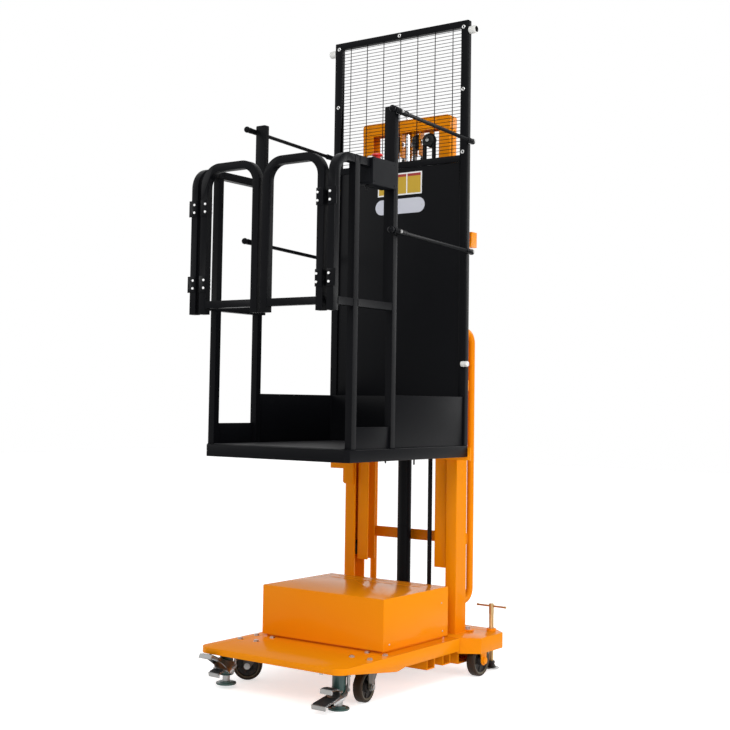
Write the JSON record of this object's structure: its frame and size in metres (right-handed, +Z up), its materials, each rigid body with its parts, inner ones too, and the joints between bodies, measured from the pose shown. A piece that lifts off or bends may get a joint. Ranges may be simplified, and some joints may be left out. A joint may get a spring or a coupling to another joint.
{
  "type": "mast order picker truck",
  "caption": "Push-around order picker: caster base with power box, two-stage chain mast, and a caged standing platform with gates and screen shield.",
  "frame": {"origin": "on the ground under the middle of the truck", "axes": "+Z up; the entrance gates face -Y and the mast stands at +Y; +X is to the right seen from the entrance"},
  "size_m": [0.732, 1.02, 2.335],
  "materials": {
    "orange_paint": "gloss enamel",
    "black_paint": "satin powder coat",
    "zinc": "zinc plated",
    "chrome": "hard chrome",
    "chain_steel": "oiled",
    "cable_rubber": "matte",
    "wheel_rubber": "matte",
    "lock_green": "satin",
    "fork_steel": "satin",
    "roller_nylon": "matte",
    "battery_case": "matte",
    "knob_white": "matte",
    "button_red": "gloss",
    "box_black": "satin",
    "label_plain": "satin"
  },
  "bodies": {
    "chassis": {"deck": "orange_paint", "underframe": "orange_paint", "outriggers": "orange_paint", "power_box": "orange_paint", "battery_pack": "battery_case", "outer_rails": "orange_paint", "mast_ties": "orange_paint", "lift_barrel": "black_paint", "cable_riser": "cable_rubber", "rear_runs": "chain_steel", "push_handles": "orange_paint", "caster_plates": "zinc", "wheel_brackets": "orange_paint", "floor_locks": "lock_green", "lock_pedals": "zinc"},
    "inner_mast": {"inner_rails": "orange_paint", "mast_head": "orange_paint", "mast_rollers": "roller_nylon", "chain_wraps": "chain_steel", "lift_rod": "chrome", "front_runs": "chain_steel"},
    "carriage": {"carriage_frame": "orange_paint", "carriage_rollers": "roller_nylon", "platform_floor": "black_paint", "toe_boards": "black_paint", "guard_left": "black_paint", "guard_right": "black_paint", "guard_bars": "black_paint", "shield_frame": "black_paint", "shield_screen": "black_paint", "shield_panel": "black_paint", "shield_knobs": "knob_white", "control_box": "box_black", "stop_button": "button_red", "label_plates": "label_plain"},
    "gate_left": {"gate_left": "black_paint"},
    "gate_right": {"gate_right": "black_paint"},
    "caster_left": {"fork_left": "fork_steel"},
    "caster_right": {"fork_right": "fork_steel"},
    "front_wheel_left": {"front_wheel_left": "wheel_rubber"},
    "front_wheel_right": {"front_wheel_right": "wheel_rubber"},
    "rear_wheel_left": {"rear_wheel_left": "wheel_rubber"},
    "rear_wheel_right": {"rear_wheel_right": "wheel_rubber"},
    "jack_left": {"jack_left": "zinc"},
    "jack_right": {"jack_right": "zinc"}
  },
  "joints": [
    {"name": "mast_lift", "type": "slide", "parent": "chassis", "child": "inner_mast", "axis": [0, 0, 1], "range_m": [-0.21, 0.94], "deforming": ["rear_runs"]},
    {"name": "carriage_lift", "type": "slide", "parent": "inner_mast", "child": "carriage", "axis": [0, 0, 1], "range_m": [-0.21, 0.94], "deforming": ["front_runs"]},
    {"name": "gate_left_hinge", "type": "hinge", "parent": "carriage", "child": "gate_left", "pos_m": [-0.264, -0.4735, 1.5], "axis": [0, 0, 1], "range_deg": [0, 80]},
    {"name": "gate_right_hinge", "type": "hinge", "parent": "carriage", "child": "gate_right", "pos_m": [0.264, -0.4735, 1.5], "axis": [0, 0, 1], "range_deg": [-80, 0]},
    {"name": "caster_left_swivel", "type": "hinge", "parent": "chassis", "child": "caster_left", "pos_m": [-0.235, -0.1985, 0.11], "axis": [0, 0, 1], "continuous": true},
    {"name": "caster_right_swivel", "type": "hinge", "parent": "chassis", "child": "caster_right", "pos_m": [0.235, -0.1985, 0.11], "axis": [0, 0, 1], "continuous": true},
    {"name": "front_wheel_left_spin", "type": "hinge", "parent": "caster_left", "child": "front_wheel_left", "pos_m": [-0.25794, -0.21456, 0.05], "axis": [0.5736, -0.8192, 0], "continuous": true},
    {"name": "front_wheel_right_spin", "type": "hinge", "parent": "caster_right", "child": "front_wheel_right", "pos_m": [0.23841, -0.22629, 0.05], "axis": [0.9925, 0.1219, 0], "continuous": true},
    {"name": "rear_wheel_left_spin", "type": "hinge", "parent": "chassis", "child": "rear_wheel_left", "pos_m": [-0.32, 0.3515, 0.056], "axis": [1, 0, 0], "continuous": true},
    {"name": "rear_wheel_right_spin", "type": "hinge", "parent": "chassis", "child": "rear_wheel_right", "pos_m": [0.32, 0.3515, 0.056], "axis": [1, 0, 0], "continuous": true},
    {"name": "jack_left_screw", "type": "slide", "parent": "chassis", "child": "jack_left", "axis": [0, 0, 1], "range_m": [-0.006, 0.05]},
    {"name": "jack_right_screw", "type": "slide", "parent": "chassis", "child": "jack_right", "axis": [0, 0, 1], "range_m": [-0.006, 0.05]}
  ],
  "couplings": [
    {"joint": "carriage_lift", "follows": "mast_lift", "ratio": 1}
  ]
}
